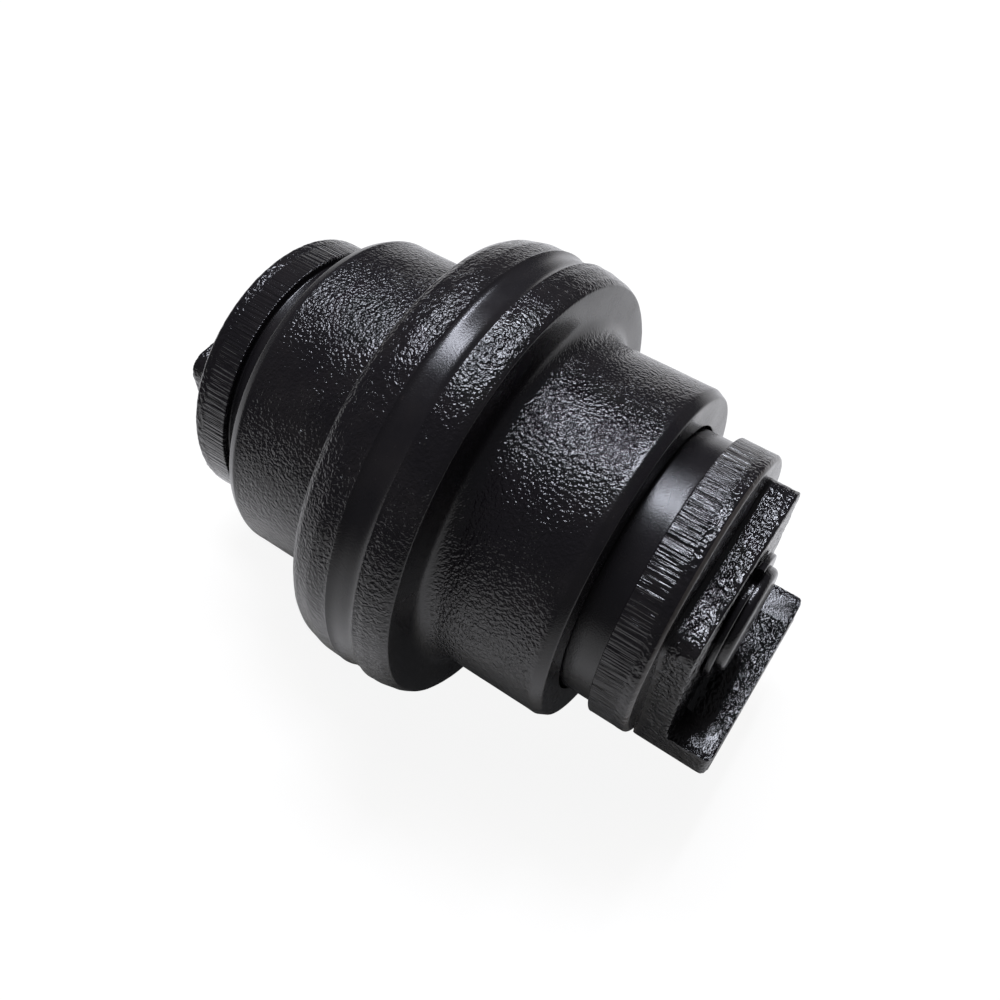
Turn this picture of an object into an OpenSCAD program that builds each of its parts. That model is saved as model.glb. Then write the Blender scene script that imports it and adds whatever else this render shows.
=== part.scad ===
// Track roller with one centre flange: the bottom roller of a small tracked machine.
// The roller axis lies along Y, the origin is on it at mid length, and +Z is up.
// The part lies as it does on a bench, with the feet of its end collars hanging down.
// Pieces named right are on the +Y side, and each has a mirrored twin on the -Y side.

/* [Shell] */
// Diameter of the two treads that the track runs on
tread_d = 110; // [98:1:132]
// Overall length of the rotating shell
shell_l = 114; // [95:1:137]
// Largest diameter of the centre flange
flange_d = 145; // [136:1:175]
// Width of the centre flange between its side faces
flange_w = 34; // [28:1:42]
// Radius of the fillet between tread and flange
flange_fillet = 6; // [3:0.5:7]
// Width of the shallow groove turned in the flange rim
groove_w = 9.5; // [5:0.5:12]
// Depth of that groove
groove_depth = 0.9; // [0.4:0.1:2]
// Chamfer at the outer edge of each tread
tread_chamfer = 3; // [1:0.5:4]

/* [Shaft and bushes] */
// Diameter of the fixed shaft
shaft_d = 34; // [28:0.5:36]
// How far each shaft end stands out of its collar block
shaft_overhang = 5; // [5:0.5:9]
// Wall of each flanged bush
bush_wall = 3; // [2:0.25:4]
// Length of the bush barrel in the shell
bush_l = 28; // [18:1:30]
// Thickness of the thrust flange of each bush
bush_flange_t = 3; // [2:0.25:4]
// Radial running clearance of the bush on the shaft
bush_clearance = 0.05; // [0.02:0.01:0.1]

/* [Collars] */
// Diameter of the round disc of each end collar
disc_d = 92; // [90:1:112]
// Thickness of that disc along the axis
disc_t = 12.5; // [12:0.5:16]
// Diameter of the turned neck between disc and shell
neck_d = 87; // [78:1:89]
// Gap along the axis between the shell and the disc
neck_gap = 10; // [6:0.5:14]
// Width of the bracket block behind the disc
block_w = 67; // [66:1:82]
// Height of the block above the roller axis
block_top = 26; // [24:1:32]
// Thickness of the block along the axis
block_t = 9.5; // [7:0.5:12]

/* [Mounting feet] */
// Distance of the pad faces below the roller axis
pad_drop = 38; // [36:1:46]
// Thickness of each foot under its bolt heads
foot_t = 11; // [8:0.5:14]
// Length of each foot along the axis beyond the block
foot_l = 14.5; // [14:0.5:20]
// Distance between the two bolts of one foot
bolt_spacing = 46; // [40:1:50]
// Tapping hole for each M12 mounting bolt, drilled from the pad side
bolt_hole_d = 10.2; // [8.5:0.1:12]
// Metal left between each tapping hole and the top of the foot
bolt_floor = 1.5; // [1:0.5:3]
// Distance from the middle of the foot to the milled land at either end
land_start = 21.5; // [16:0.5:26]

/* [Seals] */
// Section diameter of the rubber ring behind each face seal
toric_d = 6.2; // [5:0.1:7]
// Outer radius of the steel face seal rings
seal_r = 31; // [30.5:0.25:33]
// Radial gap between the collar neck and the shell mouth
mouth_gap = 1; // [0.5:0.1:1.5]
// Section diameter of the O-ring between shaft and collar
oring_d = 2.6; // [2:0.1:3]

/* [Hidden] */
$fn = 96;
// How far a cut runs past the face that it opens
past = 1;
left = -1;
right = 1;

// Radii
tread_r = tread_d / 2;
flange_r = flange_d / 2;
shaft_r = shaft_d / 2;
disc_r = disc_d / 2;
neck_r = neck_d / 2;
bush_bore_r = shaft_r + bush_clearance;
bush_r = bush_bore_r + bush_wall;
mouth_r = neck_r + mouth_gap;

// Flange rim: the crown is level beside the groove and drops towards both edges
rim_drop = 2.4;
rim_land = 3;
rim_chamfer = 2.2;
groove_shift = 1.75;
rim_taper = flange_w / 2 - groove_shift - groove_w / 2 - rim_land;

// Face seals: an L-section steel ring backed by a rubber ring on a shallow ramp
seal_face_t = 2.8;
seal_back = seal_face_t + toric_d;
seal_leg_t = 2.4;
seal_film = 0.02;
toric_gap = 0.05;
ramp_slope = 0.07;
toric_back = seal_face_t + toric_d / 2 + toric_gap;
seal_leg_r = seal_r - toric_d * 0.78;
toric_r = seal_leg_r + toric_d / 2 + toric_gap;
ramp_r = toric_r + toric_d / 2 + 2 * toric_gap;
cavity_depth = seal_back + 0.6;

// Stations along the axis on the +Y side, from the shell end outwards
shell_end = shell_l / 2;
mouth_depth = 5.3;
mouth_floor = shell_end - mouth_depth;
nose_gap = 0.8;
seal_plane = mouth_floor + nose_gap;
neck_nose = seal_plane + nose_gap;
disc_start = shell_end + neck_gap;
disc_end = disc_start + disc_t;
block_end = disc_end + block_t;
foot_end = block_end + foot_l;
shaft_end = block_end + shaft_overhang;

// Bushes: the barrel fills its seat and the thrust flange stands on the cavity floor
cavity_floor = seal_plane - cavity_depth - bush_flange_t;
bush_start = cavity_floor - bush_l;
bush_flange_r = seal_leg_r - 0.2;
thrust_gap = 0.2;
chamber_r = bush_r + 3.5;
hub_nose = cavity_floor + bush_flange_t + thrust_gap;
hub_r = seal_leg_r - seal_leg_t - 0.8;

// Collar edges and mounting feet
disc_chamfer = 1.5;
block_corner = 7;
foot_corner = 5;
land_depth = 0.5;
bolt_y = (disc_end + foot_end) / 2;
bolt_depth = foot_t - land_depth - bolt_floor;
foot_top = foot_t - pad_drop;

// Lock pins: radial dowels driven up from the pad side through disc and shaft
pin_d = 10;
pin_bite = 6.5;
pin_recess = 3.5;
pin_edge = 0.8;
pin_y = (disc_start + disc_end) / 2;
pin_top = pin_bite - shaft_r;
pin_bottom = pin_recess - disc_r;

// Retaining rings, one in a groove at each shaft end
ring_t = 2;
ring_rim = 3.5;
ring_bite = 1.5;
ring_gap = 8;
ring_play = 0.05;
ring_start = block_end + ring_play;
shaft_edge = 2;

// O-rings in the shaft, under the collar hubs
oring_play = 0.02;
oring_groove_depth = oring_d + 2 * oring_play;
oring_groove_w = oring_d * 1.3;
oring_y = (neck_nose + disc_start) / 2;

// Oil way: from the left shaft end to the chamber at mid length
oil_bore_d = 8;
cross_bore_d = 5;
plug_d = 14;
plug_l = 12;
plug_hex = 7;
plug_hex_depth = 6;
plug_recess = 1.5;
plug_edge = 1;
plug_seal_t = 1.5;
plug_seat = plug_recess + plug_l + plug_seal_t;
centre_drill_d = 6;

// Points of an arc of radius r round [cx, cy], from angle a0 to angle a1
function arc(cx, cy, r, a0, a1, n = 8) =
  [for (i = [0:n], a = a0 + (a1 - a0) * i / n) [cx + r * cos(a), cy + r * sin(a)]];

// The same outline points on the side s of mid length
function on_side(s, points) = [for (p = points) [p[0], s * p[1]]];

function reversed(points) = [for (i = [len(points) - 1:-1:0]) points[i]];

// Shell outline of one side as [radius, station], from the rim crown to the end face
function half_outline() = let (half = flange_w / 2) [
  [flange_r, half - rim_taper],
  [flange_r - rim_drop / 2, half - rim_chamfer],
  [flange_r - rim_drop, half],
  each arc(tread_r + flange_fillet, half + flange_fillet, flange_fillet, 270, 180),
  [tread_r, shell_end - tread_chamfer],
  [tread_r - tread_chamfer / 2, shell_end],
  [0, shell_end]
];

// The rim groove: a shallow dip with the profile of one sine half-wave
function groove_dip(n = 10) = [for (i = [0:n])
  [flange_r - groove_depth * sin(180 * i / n), groove_shift + groove_w * (i / n - 0.5)]];

// Turns a profile drawn as [radius, station] about the roller axis
module turned() {
  rotate([90, 0, 0]) mirror([0, 0, 1]) rotate_extrude($fn = 128) children();
}

// A round bar or bore on the roller axis between two stations
module bar(r, from, to) {
  translate([0, from, 0]) rotate([-90, 0, 0]) cylinder(r = r, h = to - from);
}

// A cone on the roller axis, of radius r1 at one station and r2 at the other
module taper(r1, r2, from, to) {
  translate([0, from, 0]) rotate([-90, 0, 0]) cylinder(r1 = r1, r2 = r2, h = to - from);
}

// Sets a piece modelled on the +Y side on side s
module on(s) {
  if (s == right) children();
  else mirror([0, 1, 0]) children();
}

// Ramped seat of a rubber ring; it widens towards the seal plane
module seal_cavity(floor_y, mouth_y) {
  inner = min(floor_y, mouth_y);
  outer = max(floor_y, mouth_y);
  toric_y = floor_y < mouth_y ? seal_plane - toric_back : seal_plane + toric_back;
  r_floor = ramp_r - abs(toric_y - floor_y) * ramp_slope;
  r_mouth = ramp_r + abs(mouth_y - toric_y) * ramp_slope;
  if (floor_y < mouth_y) taper(r_floor, r_mouth, inner, outer);
  else taper(r_mouth, r_floor, inner, outer);
}

module roller_shell() {
  color("#202023") difference() {
    turned() polygon(concat(
      reversed(on_side(left, half_outline())),
      groove_dip(),
      on_side(right, half_outline())));
    bar(bush_r, -cavity_floor - past, cavity_floor + past);
    bar(chamber_r, -bush_start, bush_start);
    for (s = [left, right]) on(s) {
      seal_cavity(cavity_floor, mouth_floor + past / 2);
      bar(mouth_r, mouth_floor, shell_end + past);
    }
  }
}

module bush(s) {
  color("#9a6b3c") on(s) difference() {
    union() {
      bar(bush_r, bush_start, cavity_floor + bush_flange_t);
      bar(bush_flange_r, cavity_floor, cavity_floor + bush_flange_t);
    }
    bar(bush_bore_r, bush_start - past, cavity_floor + bush_flange_t + past);
  }
}

// Ring groove in the shaft surface, centred on a station
module shaft_groove(y, w, depth) {
  difference() {
    bar(shaft_r + past, y - w / 2, y + w / 2);
    bar(shaft_r - depth, y - w / 2 - past, y + w / 2 + past);
  }
}

module lock_pin_hole() {
  translate([0, pin_y, -disc_r - past]) cylinder(d = pin_d, h = pin_top + disc_r + past);
}

module shaft() {
  color("#2a2a2d") difference() {
    turned() polygon(concat(
      [[0, -shaft_end]],
      arc(shaft_r - shaft_edge, shaft_edge - shaft_end, shaft_edge, 270, 360),
      arc(shaft_r - shaft_edge, shaft_end - shaft_edge, shaft_edge, 0, 90),
      [[0, shaft_end]]));
    for (s = [left, right]) on(s) {
      shaft_groove(ring_start + ring_t / 2, ring_t + 2 * ring_play, ring_bite);
      shaft_groove(oring_y, oring_groove_w, oring_groove_depth);
      lock_pin_hole();
    }
    bar(oil_bore_d / 2, -shaft_end - past, cross_bore_d);
    cylinder(d = cross_bore_d, h = shaft_r + past);
    bar(plug_d / 2, -shaft_end - past, plug_seat - shaft_end);
    taper(0, centre_drill_d / 2, shaft_end - centre_drill_d / 2, shaft_end);
  }
}

// Section of the bracket block: square below, with rounded shoulders above
module block_section() {
  half = block_w / 2;
  polygon(concat(
    [[-half, -pad_drop], [half, -pad_drop]],
    arc(half - block_corner, block_top - block_corner, block_corner, 0, 90),
    arc(block_corner - half, block_top - block_corner, block_corner, 90, 180)));
}

// Plan of the foot, with its two outer corners rounded
module foot_plan() {
  half = block_w / 2;
  polygon(concat(
    [[-half, disc_end], [half, disc_end]],
    arc(half - foot_corner, foot_end - foot_corner, foot_corner, 0, 90),
    arc(foot_corner - half, foot_end - foot_corner, foot_corner, 90, 180)));
}

module bolt_holes() {
  for (x = [-bolt_spacing / 2, bolt_spacing / 2])
    translate([x, bolt_y, -pad_drop - past]) cylinder(d = bolt_hole_d, h = bolt_depth + past);
}

// Shallow flats milled across both ends of the foot's top
module milled_lands() {
  for (x = [-land_start - block_w, land_start])
    translate([x, block_end, foot_top - land_depth])
      cube([block_w, foot_l + past, land_depth + past]);
}

module collar(s) {
  color("#1e1e21") on(s) difference() {
    union() {
      difference() {
        union() {
          bar(neck_r, neck_nose, disc_start + past);
          taper(disc_r - disc_chamfer / 2, disc_r, disc_start, disc_start + disc_chamfer / 2);
          bar(disc_r, disc_start + disc_chamfer / 2, disc_end - disc_chamfer);
          taper(disc_r, disc_r - disc_chamfer, disc_end - disc_chamfer, disc_end);
          translate([0, block_end, 0]) rotate([90, 0, 0])
            linear_extrude(block_t + past) block_section();
          translate([0, 0, -pad_drop]) linear_extrude(foot_t) foot_plan();
        }
        seal_cavity(seal_plane + cavity_depth, neck_nose - past / 2);
      }
      bar(hub_r, hub_nose, disc_start);
    }
    bar(shaft_r, hub_nose - past, block_end + past);
    lock_pin_hole();
    bolt_holes();
    milled_lands();
  }
}

module lock_pin(s) {
  color("#8d9094") on(s) translate([0, pin_y, pin_bottom]) {
    length = pin_top - pin_bottom;
    cylinder(d1 = pin_d - 2 * pin_edge, d2 = pin_d, h = pin_edge);
    translate([0, 0, pin_edge]) cylinder(d = pin_d, h = length - 2 * pin_edge);
    translate([0, 0, length - pin_edge]) cylinder(d1 = pin_d, d2 = pin_d - 2 * pin_edge, h = pin_edge);
  }
}

// Open spring ring; its gap faces the mounting pads
module retaining_ring(s) {
  color("#34363a") on(s) difference() {
    bar(shaft_r + ring_rim, ring_start, ring_start + ring_t);
    bar(shaft_r - ring_bite, ring_start - past, ring_start + ring_t + past);
    translate([-ring_gap / 2, ring_start - past, -2 * shaft_r])
      cube([ring_gap, ring_t + 2 * past, 2 * shaft_r]);
  }
}

// Steel face seal ring as [radius, distance behind the seal plane]
module seal_ring_section() {
  polygon([[seal_leg_r - seal_leg_t, seal_film], [seal_r, seal_film], [seal_r, seal_face_t],
    [seal_leg_r, seal_face_t], [seal_leg_r, seal_back], [seal_leg_r - seal_leg_t, seal_back]]);
}

module toric_section() {
  translate([toric_r, toric_back]) circle(d = toric_d, $fn = 32);
}

// Turns a section drawn behind the seal plane: dir is -1 in the shell and 1 in the collar
module behind_seal(dir) {
  translate([0, seal_plane, 0]) rotate([90, 0, 0])
    mirror([0, 0, dir > 0 ? 1 : 0]) rotate_extrude($fn = 128) children();
}

module rotating_seal_ring(s) {
  color("#a9adb2") on(s) behind_seal(-1) seal_ring_section();
}

module fixed_seal_ring(s) {
  color("#a9adb2") on(s) behind_seal(1) seal_ring_section();
}

module rotating_toric(s) {
  color("#18181a") on(s) behind_seal(-1) toric_section();
}

module fixed_toric(s) {
  color("#18181a") on(s) behind_seal(1) toric_section();
}

module shaft_oring(s) {
  color("#18181a") on(s) translate([0, oring_y, 0]) rotate([90, 0, 0])
    rotate_extrude($fn = 128) translate([shaft_r - oring_play - oring_d / 2, 0])
      circle(d = oring_d, $fn = 24);
}

// Socket plug of the oil way, in the left shaft end
module oil_plug() {
  color("#7f8388") translate([0, plug_recess - shaft_end, 0]) difference() {
    union() {
      taper(plug_d / 2 - plug_edge, plug_d / 2, 0, plug_edge);
      bar(plug_d / 2, plug_edge, plug_l);
    }
    translate([0, -past, 0]) rotate([-90, 0, 0])
      cylinder(d = plug_hex / cos(30), h = plug_hex_depth + past, $fn = 6);
  }
}

module oil_plug_seal() {
  color("#b5713d") difference() {
    bar(plug_d / 2, plug_seat - plug_seal_t - shaft_end, plug_seat - shaft_end);
    bar(oil_bore_d / 2, plug_seat - plug_seal_t - shaft_end - past, plug_seat - shaft_end + past);
  }
}

roller_shell();
bush(left);  // bush_left
bush(right);  // bush_right
shaft();
collar(left);  // collar_left
collar(right);  // collar_right
lock_pin(left);  // lock_pin_left
lock_pin(right);  // lock_pin_right
retaining_ring(left);  // retaining_ring_left
retaining_ring(right);  // retaining_ring_right
rotating_seal_ring(left);  // rotating_seal_ring_left
rotating_seal_ring(right);  // rotating_seal_ring_right
fixed_seal_ring(left);  // fixed_seal_ring_left
fixed_seal_ring(right);  // fixed_seal_ring_right
rotating_toric(left);  // rotating_toric_left
rotating_toric(right);  // rotating_toric_right
fixed_toric(left);  // fixed_toric_left
fixed_toric(right);  // fixed_toric_right
shaft_oring(left);  // shaft_oring_left
shaft_oring(right);  // shaft_oring_right
oil_plug();
oil_plug_seal();
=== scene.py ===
import math

import bmesh
import bpy
from bpy.props import FloatProperty, FloatVectorProperty, IntProperty, PointerProperty
from bpy.types import Operator, Panel, PropertyGroup
from mathutils import Matrix, Vector


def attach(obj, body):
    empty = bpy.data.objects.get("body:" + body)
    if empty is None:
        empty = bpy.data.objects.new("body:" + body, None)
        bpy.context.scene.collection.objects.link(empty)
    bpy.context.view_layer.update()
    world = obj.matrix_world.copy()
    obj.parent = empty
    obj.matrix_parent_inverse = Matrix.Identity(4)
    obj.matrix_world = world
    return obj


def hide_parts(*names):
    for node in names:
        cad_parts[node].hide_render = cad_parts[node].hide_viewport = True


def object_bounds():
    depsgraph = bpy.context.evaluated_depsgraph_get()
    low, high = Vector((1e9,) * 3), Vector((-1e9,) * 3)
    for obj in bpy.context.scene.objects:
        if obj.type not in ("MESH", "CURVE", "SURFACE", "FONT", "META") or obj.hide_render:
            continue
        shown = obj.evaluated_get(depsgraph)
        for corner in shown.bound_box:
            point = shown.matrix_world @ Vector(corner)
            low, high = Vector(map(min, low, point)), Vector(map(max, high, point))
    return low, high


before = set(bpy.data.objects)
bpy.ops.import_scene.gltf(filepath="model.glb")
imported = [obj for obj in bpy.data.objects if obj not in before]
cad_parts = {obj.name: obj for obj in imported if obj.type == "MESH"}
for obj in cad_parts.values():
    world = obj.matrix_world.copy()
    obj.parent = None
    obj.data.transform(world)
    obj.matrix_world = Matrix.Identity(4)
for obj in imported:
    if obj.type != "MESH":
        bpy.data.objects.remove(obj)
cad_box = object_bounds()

bl_info = {
    "name": "Track Roller",
    "version": (1, 0, 0),
    "blender": (4, 5, 0),
    "location": "3D View > Sidebar > Track Roller",
    "description": "Bottom roller with one centre flange for a small tracked machine",
    "category": "Object",
}

MM = 0.001
SIDES = {"left": -1, "right": 1}


def linear(hex_colour):
    """An sRGB hex colour as linear red, green, blue and alpha."""
    parts = [int(hex_colour[i:i + 2], 16) / 255 for i in (1, 3, 5)]
    return (*[p / 12.92 if p <= 0.04045 else ((p + 0.055) / 1.055) ** 2.4 for p in parts], 1.0)


# ---------------------------------------------------------------- sizes and colours

def length(name, value, description):
    return FloatProperty(name=name, description=description, default=value * MM,
                         min=0.0, unit="LENGTH", subtype="DISTANCE", precision=4)


def colour(name, value, description):
    return FloatVectorProperty(name=name, description=description, default=linear(value),
                               size=4, min=0.0, max=1.0, subtype="COLOR")


class ShellSizes(PropertyGroup):
    tread_d: length("Tread diameter", 110, "Diameter of the two treads that the track runs on")
    half_l: length("Half length", 57, "From mid length to either end face")
    flange_d: length("Flange diameter", 145, "Largest diameter of the centre flange")
    flange_w: length("Flange width", 34, "Between the side faces of the flange")
    fillet: length("Flange fillet", 6, "Radius between tread and flange")
    rim_drop: length("Rim drop", 2.4, "How far the rim edges lie below its crown")
    groove_w: length("Groove width", 9.5, "Shallow groove turned in the rim")
    groove_depth: length("Groove depth", 0.9, "Depth of that groove")
    groove_shift: length("Groove shift", 1.75, "Groove centre from mid length, towards the right")
    chamfer: length("Tread chamfer", 3, "Width of the chamfer at each tread's outer edge")
    mouth_d: length("Mouth diameter", 89, "Opening at each end that takes the collar neck")
    wave_depth: length("Forging waves", 0.28, "Height of the broad waves of the forged skin")
    facets: IntProperty(name="Facets", description="Steps round the axis", default=360, min=48)


class CollarSizes(PropertyGroup):
    neck_d: length("Neck diameter", 87, "Turned neck that runs into the shell mouth")
    disc_d: length("Disc diameter", 92, "Round disc of each end collar")
    disc_start: length("Disc start", 67, "From mid length to the disc's inner face")
    disc_end: length("Disc end", 79.5, "From mid length to the disc's outer face")
    chamfer: length("Disc chamfer", 1.0, "Rubbed chamfer at the outer edge of the disc")
    block_end: length("Block end", 89, "From mid length to the bracket block's end face")
    foot_end: length("Foot end", 103.5, "From mid length to the foot's outer edge")
    block_w: length("Block width", 67, "Width of the bracket block and foot")
    block_top: length("Block top", 26, "Top of the block above the roller axis")
    pad_drop: length("Pad drop", 38, "Mounting pads below the roller axis")
    foot_t: length("Foot thickness", 11, "Thickness of the mounting foot")
    bolt_spacing: length("Bolt spacing", 46, "Between the two bolts of one foot")
    bolt_d: length("Tapping hole", 10.2, "Blind hole in the pad for an M12 bolt")
    bolt_floor: length("Tapping hole floor", 1.5, "Metal left over each tapping hole")
    land_start: length("Land start", 21.5, "From the foot's middle to the milled land at each end")
    land_depth: length("Land depth", 0.5, "Depth of the milled lands")
    ridge_depth: length("Ridge depth", 0.3, "Depth of the axial ridges on the disc rim")
    voxel: length("Skin mesh", 0.75, "Mesh size of the forged skin of block and foot")
    facets: IntProperty(name="Facets", description="Steps round the axis", default=840, min=96)


class ShaftSizes(PropertyGroup):
    shaft_d: length("Shaft diameter", 34, "Diameter of the fixed shaft")
    half_l: length("Half length", 94, "From mid length to either shaft end")
    edge: length("Edge radius", 2, "Rounding of the shaft ends")
    ring_start: length("Ring station", 89.05, "From mid length to the retaining ring")
    ring_t: length("Ring thickness", 2, "Thickness of the retaining ring")
    ring_rim: length("Ring rim", 3.5, "How far the ring stands above the shaft")
    ring_bite: length("Ring bite", 1.5, "Depth of the ring groove in the shaft")
    ring_gap: length("Ring gap", 8, "Open gap of the ring, on the side away from the pads")
    pin_y: length("Pin station", 73.25, "From mid length to the lock pin's axis")
    pin_d: length("Pin diameter", 10, "Radial lock pin through disc and shaft")


class FinishColours(PropertyGroup):
    enamel: colour("Enamel", "#141215", "Thick black machine enamel")
    # Also the lighter tone of the painted glint specks and of the painted highlight on the rubbed
    # disc edge
    dust_and_highlight: colour("Dust", "#4b4643", "Dry dust film on the enamel")
    ground: colour("Ground steel", "#8f9296", "Ground and lapped steel")
    bronze: colour("Bronze", "#a5713d", "Bearing bronze")
    rubber: colour("Rubber", "#131314", "Nitrile rubber")
    zinc: colour("Zinc", "#9b9ea0", "Zinc plate")
    copper: colour("Copper", "#b8693e", "Soft copper")
    floor: colour("Floor", "#f4f3f1", "Pale studio floor")


class StudioSettings(PropertyGroup):
    lens: FloatProperty(name="Lens", description="Focal length on a 36 mm sensor, in mm",
                        default=34.83, min=1.0, subtype="DISTANCE_CAMERA")
    key: FloatProperty(name="Key light", description="Power of the high strip softbox", default=5.2,
                       min=0.0, unit="POWER")
    glint: FloatProperty(name="Tube light", description="Power of the narrow tube lamp",
                         default=3.4, min=0.0, unit="POWER")
    ceiling: FloatProperty(name="Ceiling light", description="Power of the wide soft light that "
                           "lights the floor and isn't mirrored in the gloss", default=14.0,
                           min=0.0, unit="POWER")
    sky: FloatProperty(name="Room light", description="Strength of the dark room's even light",
                       default=0.12, min=0.0)


# ---------------------------------------------------------------- modelling by hand

def deselect():
    bpy.ops.object.select_all(action="DESELECT")


def pick(obj):
    """Leaves obj as the one selected and active object."""
    deselect()
    obj.select_set(True)
    bpy.context.view_layer.objects.active = obj


def edit(obj):
    pick(obj)
    bpy.ops.object.mode_set(mode="EDIT")


def done():
    bpy.ops.object.mode_set(mode="OBJECT")
    return bpy.context.object


def select_where(obj, kind, test):
    """In edit mode, selects only the edges or faces that the test accepts."""
    bpy.ops.mesh.select_mode(type=kind)
    bpy.ops.mesh.select_all(action="DESELECT")
    mesh = bmesh.from_edit_mesh(obj.data)
    parts = {"EDGE": mesh.edges, "FACE": mesh.faces}[kind]
    found = [p for p in parts if test(p)]
    if not found:
        raise RuntimeError(f"{obj.name}: nothing to select")
    for part in found:
        part.select_set(True)
    mesh.select_flush_mode()
    bmesh.update_edit_mesh(obj.data)


def weld(distance):
    """In edit mode, merges the vertices that lie closer than the distance."""
    bpy.ops.mesh.select_all(action="SELECT")
    bpy.ops.mesh.remove_doubles(threshold=distance)


def face_outwards():
    """In edit mode, turns every face's normal outwards."""
    bpy.ops.mesh.select_all(action="SELECT")
    bpy.ops.mesh.normals_make_consistent(inside=False)


def place_in_mesh(obj):
    """Moves the object's place, turn and scale into its mesh."""
    pick(obj)
    bpy.ops.object.transform_apply(location=True, rotation=True, scale=True)


def apply_modifier(obj, kind, **settings):
    pick(obj)
    modifier = obj.modifiers.new(kind.lower(), kind)
    for name, value in settings.items():
        setattr(modifier, name, value)
    bpy.ops.object.modifier_apply(modifier=modifier.name)


def boolean(obj, other, operation):
    """Joins other to obj or cuts it away, and deletes it."""
    apply_modifier(obj, "BOOLEAN", object=other, operation=operation, solver="MANIFOLD")
    bpy.data.objects.remove(other)


def turned(name, outline, facets, closed=True):
    """Draws an outline of (radius, station) points and spins it round the roller axis."""
    deselect()
    (r, y), rest = outline[0], outline[1:]
    bpy.ops.mesh.primitive_plane_add(size=MM, location=(r, y, 0))
    obj = bpy.context.object
    obj.name = obj.data.name = name
    place_in_mesh(obj)
    edit(obj)
    bpy.ops.mesh.select_mode(type="VERT")
    bpy.ops.mesh.select_all(action="SELECT")
    bpy.ops.mesh.merge(type="CENTER")
    for r1, y1 in rest:
        bpy.ops.mesh.extrude_vertices_move(
            TRANSFORM_OT_translate={"value": (r1 - r, y1 - y, 0)})
        r, y = r1, y1
    if closed:
        r0, y0 = outline[0]
        bpy.ops.mesh.extrude_vertices_move(
            TRANSFORM_OT_translate={"value": (r0 - r, y0 - y, 0)})
    weld(0.001 * MM)
    bpy.ops.mesh.select_all(action="SELECT")
    bpy.ops.mesh.spin(steps=facets, angle=2 * math.pi, center=(0, 0, 0), axis=(0, 1, 0),
                      use_auto_merge=True)
    weld(0.002 * MM)
    face_outwards()
    return done()


def rod(radius, start, end, facets=96):
    """A cutting tool: a round rod between two points."""
    deselect()
    start, end = Vector(start), Vector(end)
    turn = (end - start).to_track_quat("Z", "Y").to_euler()
    bpy.ops.mesh.primitive_cylinder_add(vertices=facets, radius=radius, depth=(end - start).length,
                                        location=(start + end) / 2, rotation=turn)
    obj = bpy.context.object
    place_in_mesh(obj)
    return obj


def steps(points, pitch):
    """The outline with points added so that none lie further apart than the pitch."""
    out = [points[0]]
    for a, b in zip(points, points[1:]):
        n = max(1, math.ceil(math.dist(a, b) / pitch))
        out += [(a[0] + (b[0] - a[0]) * i / n, a[1] + (b[1] - a[1]) * i / n) for i in range(1, n + 1)]
    return out


def rounded(points, radius, n=3):
    """The outline with its inner corners rounded to about the radius."""
    out = [points[0]]
    for a, p, b in zip(points, points[1:], points[2:]):
        a, p, b = Vector(a), Vector(p), Vector(b)
        reach = min(radius, (a - p).length / 2.2, (b - p).length / 2.2)
        start, end = p + (a - p).normalized() * reach, p + (b - p).normalized() * reach
        for i in range(n + 1):
            t = i / n
            out.append(tuple(start * (1 - t) ** 2 + p * 2 * t * (1 - t) + end * t * t))
    return out + [points[-1]]


def arc(cx, cy, r, a0, a1, n=10):
    angles = [math.radians(a0 + (a1 - a0) * i / n) for i in range(n + 1)]
    return [(cx + r * math.cos(a), cy + r * math.sin(a)) for a in angles]


def mirrored(points):
    return [(r, -y) for r, y in reversed(points)]


def ramp(x, low, high):
    """0 below low, 1 above high and a smooth rise between."""
    t = min(1.0, max(0.0, (x - low) / (high - low)))
    return t * t * (3 - 2 * t)


def skin_group(obj, name, weight):
    """A vertex group whose weight at each vertex is weight(radius, station, height)."""
    group = obj.vertex_groups.new(name=name)
    for v in obj.data.vertices:
        w = weight(math.hypot(v.co.x, v.co.z), v.co.y, v.co.z)
        if w > 0.001:
            group.add([v.index], w, "REPLACE")


def waves(obj, group, size, height, coords="LOCAL"):
    """Presses a cloud pattern of the given grain size into the skin, never outwards."""
    texture = bpy.data.textures.new("waves", "CLOUDS")
    texture.noise_scale = size
    texture.noise_depth = 1
    texture.noise_basis = "ORIGINAL_PERLIN"
    apply_modifier(obj, "DISPLACE", texture=texture, strength=height, mid_level=1.0,
                   vertex_group=group, texture_coords=coords)


def finish_piece(obj, name, body, nodes, material):
    """Names a finished piece, smooths it, and lets it stand for its CAD node."""
    obj.name = obj.data.name = name
    pick(obj)
    bpy.ops.object.shade_smooth_by_angle(angle=math.radians(38))
    obj.data.materials.clear()
    obj.data.materials.append(material)
    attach(obj, body)
    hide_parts(nodes)
    return obj


# ---------------------------------------------------------------- materials

def node(tree, kind, inputs=None, **settings):
    """Adds a node. An input is a value, a node, whose first output is linked, or an output."""
    made = tree.nodes.new(kind)
    for name, value in settings.items():
        setattr(made, name, value)
    for socket, value in (inputs or {}).items():
        if isinstance(value, bpy.types.Node):
            value = value.outputs[0]
        if isinstance(value, bpy.types.NodeSocket):
            tree.links.new(value, made.inputs[socket])
        else:
            made.inputs[socket].default_value = value
    return made


def new_material(name):
    material = bpy.data.materials.new(name)
    material.use_nodes = True
    material.node_tree.nodes.clear()
    return material, material.node_tree


def grain(millimetres):
    """Texture scale, per metre, that gives a pattern of that spacing."""
    return 1 / (millimetres * MM)


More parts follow.
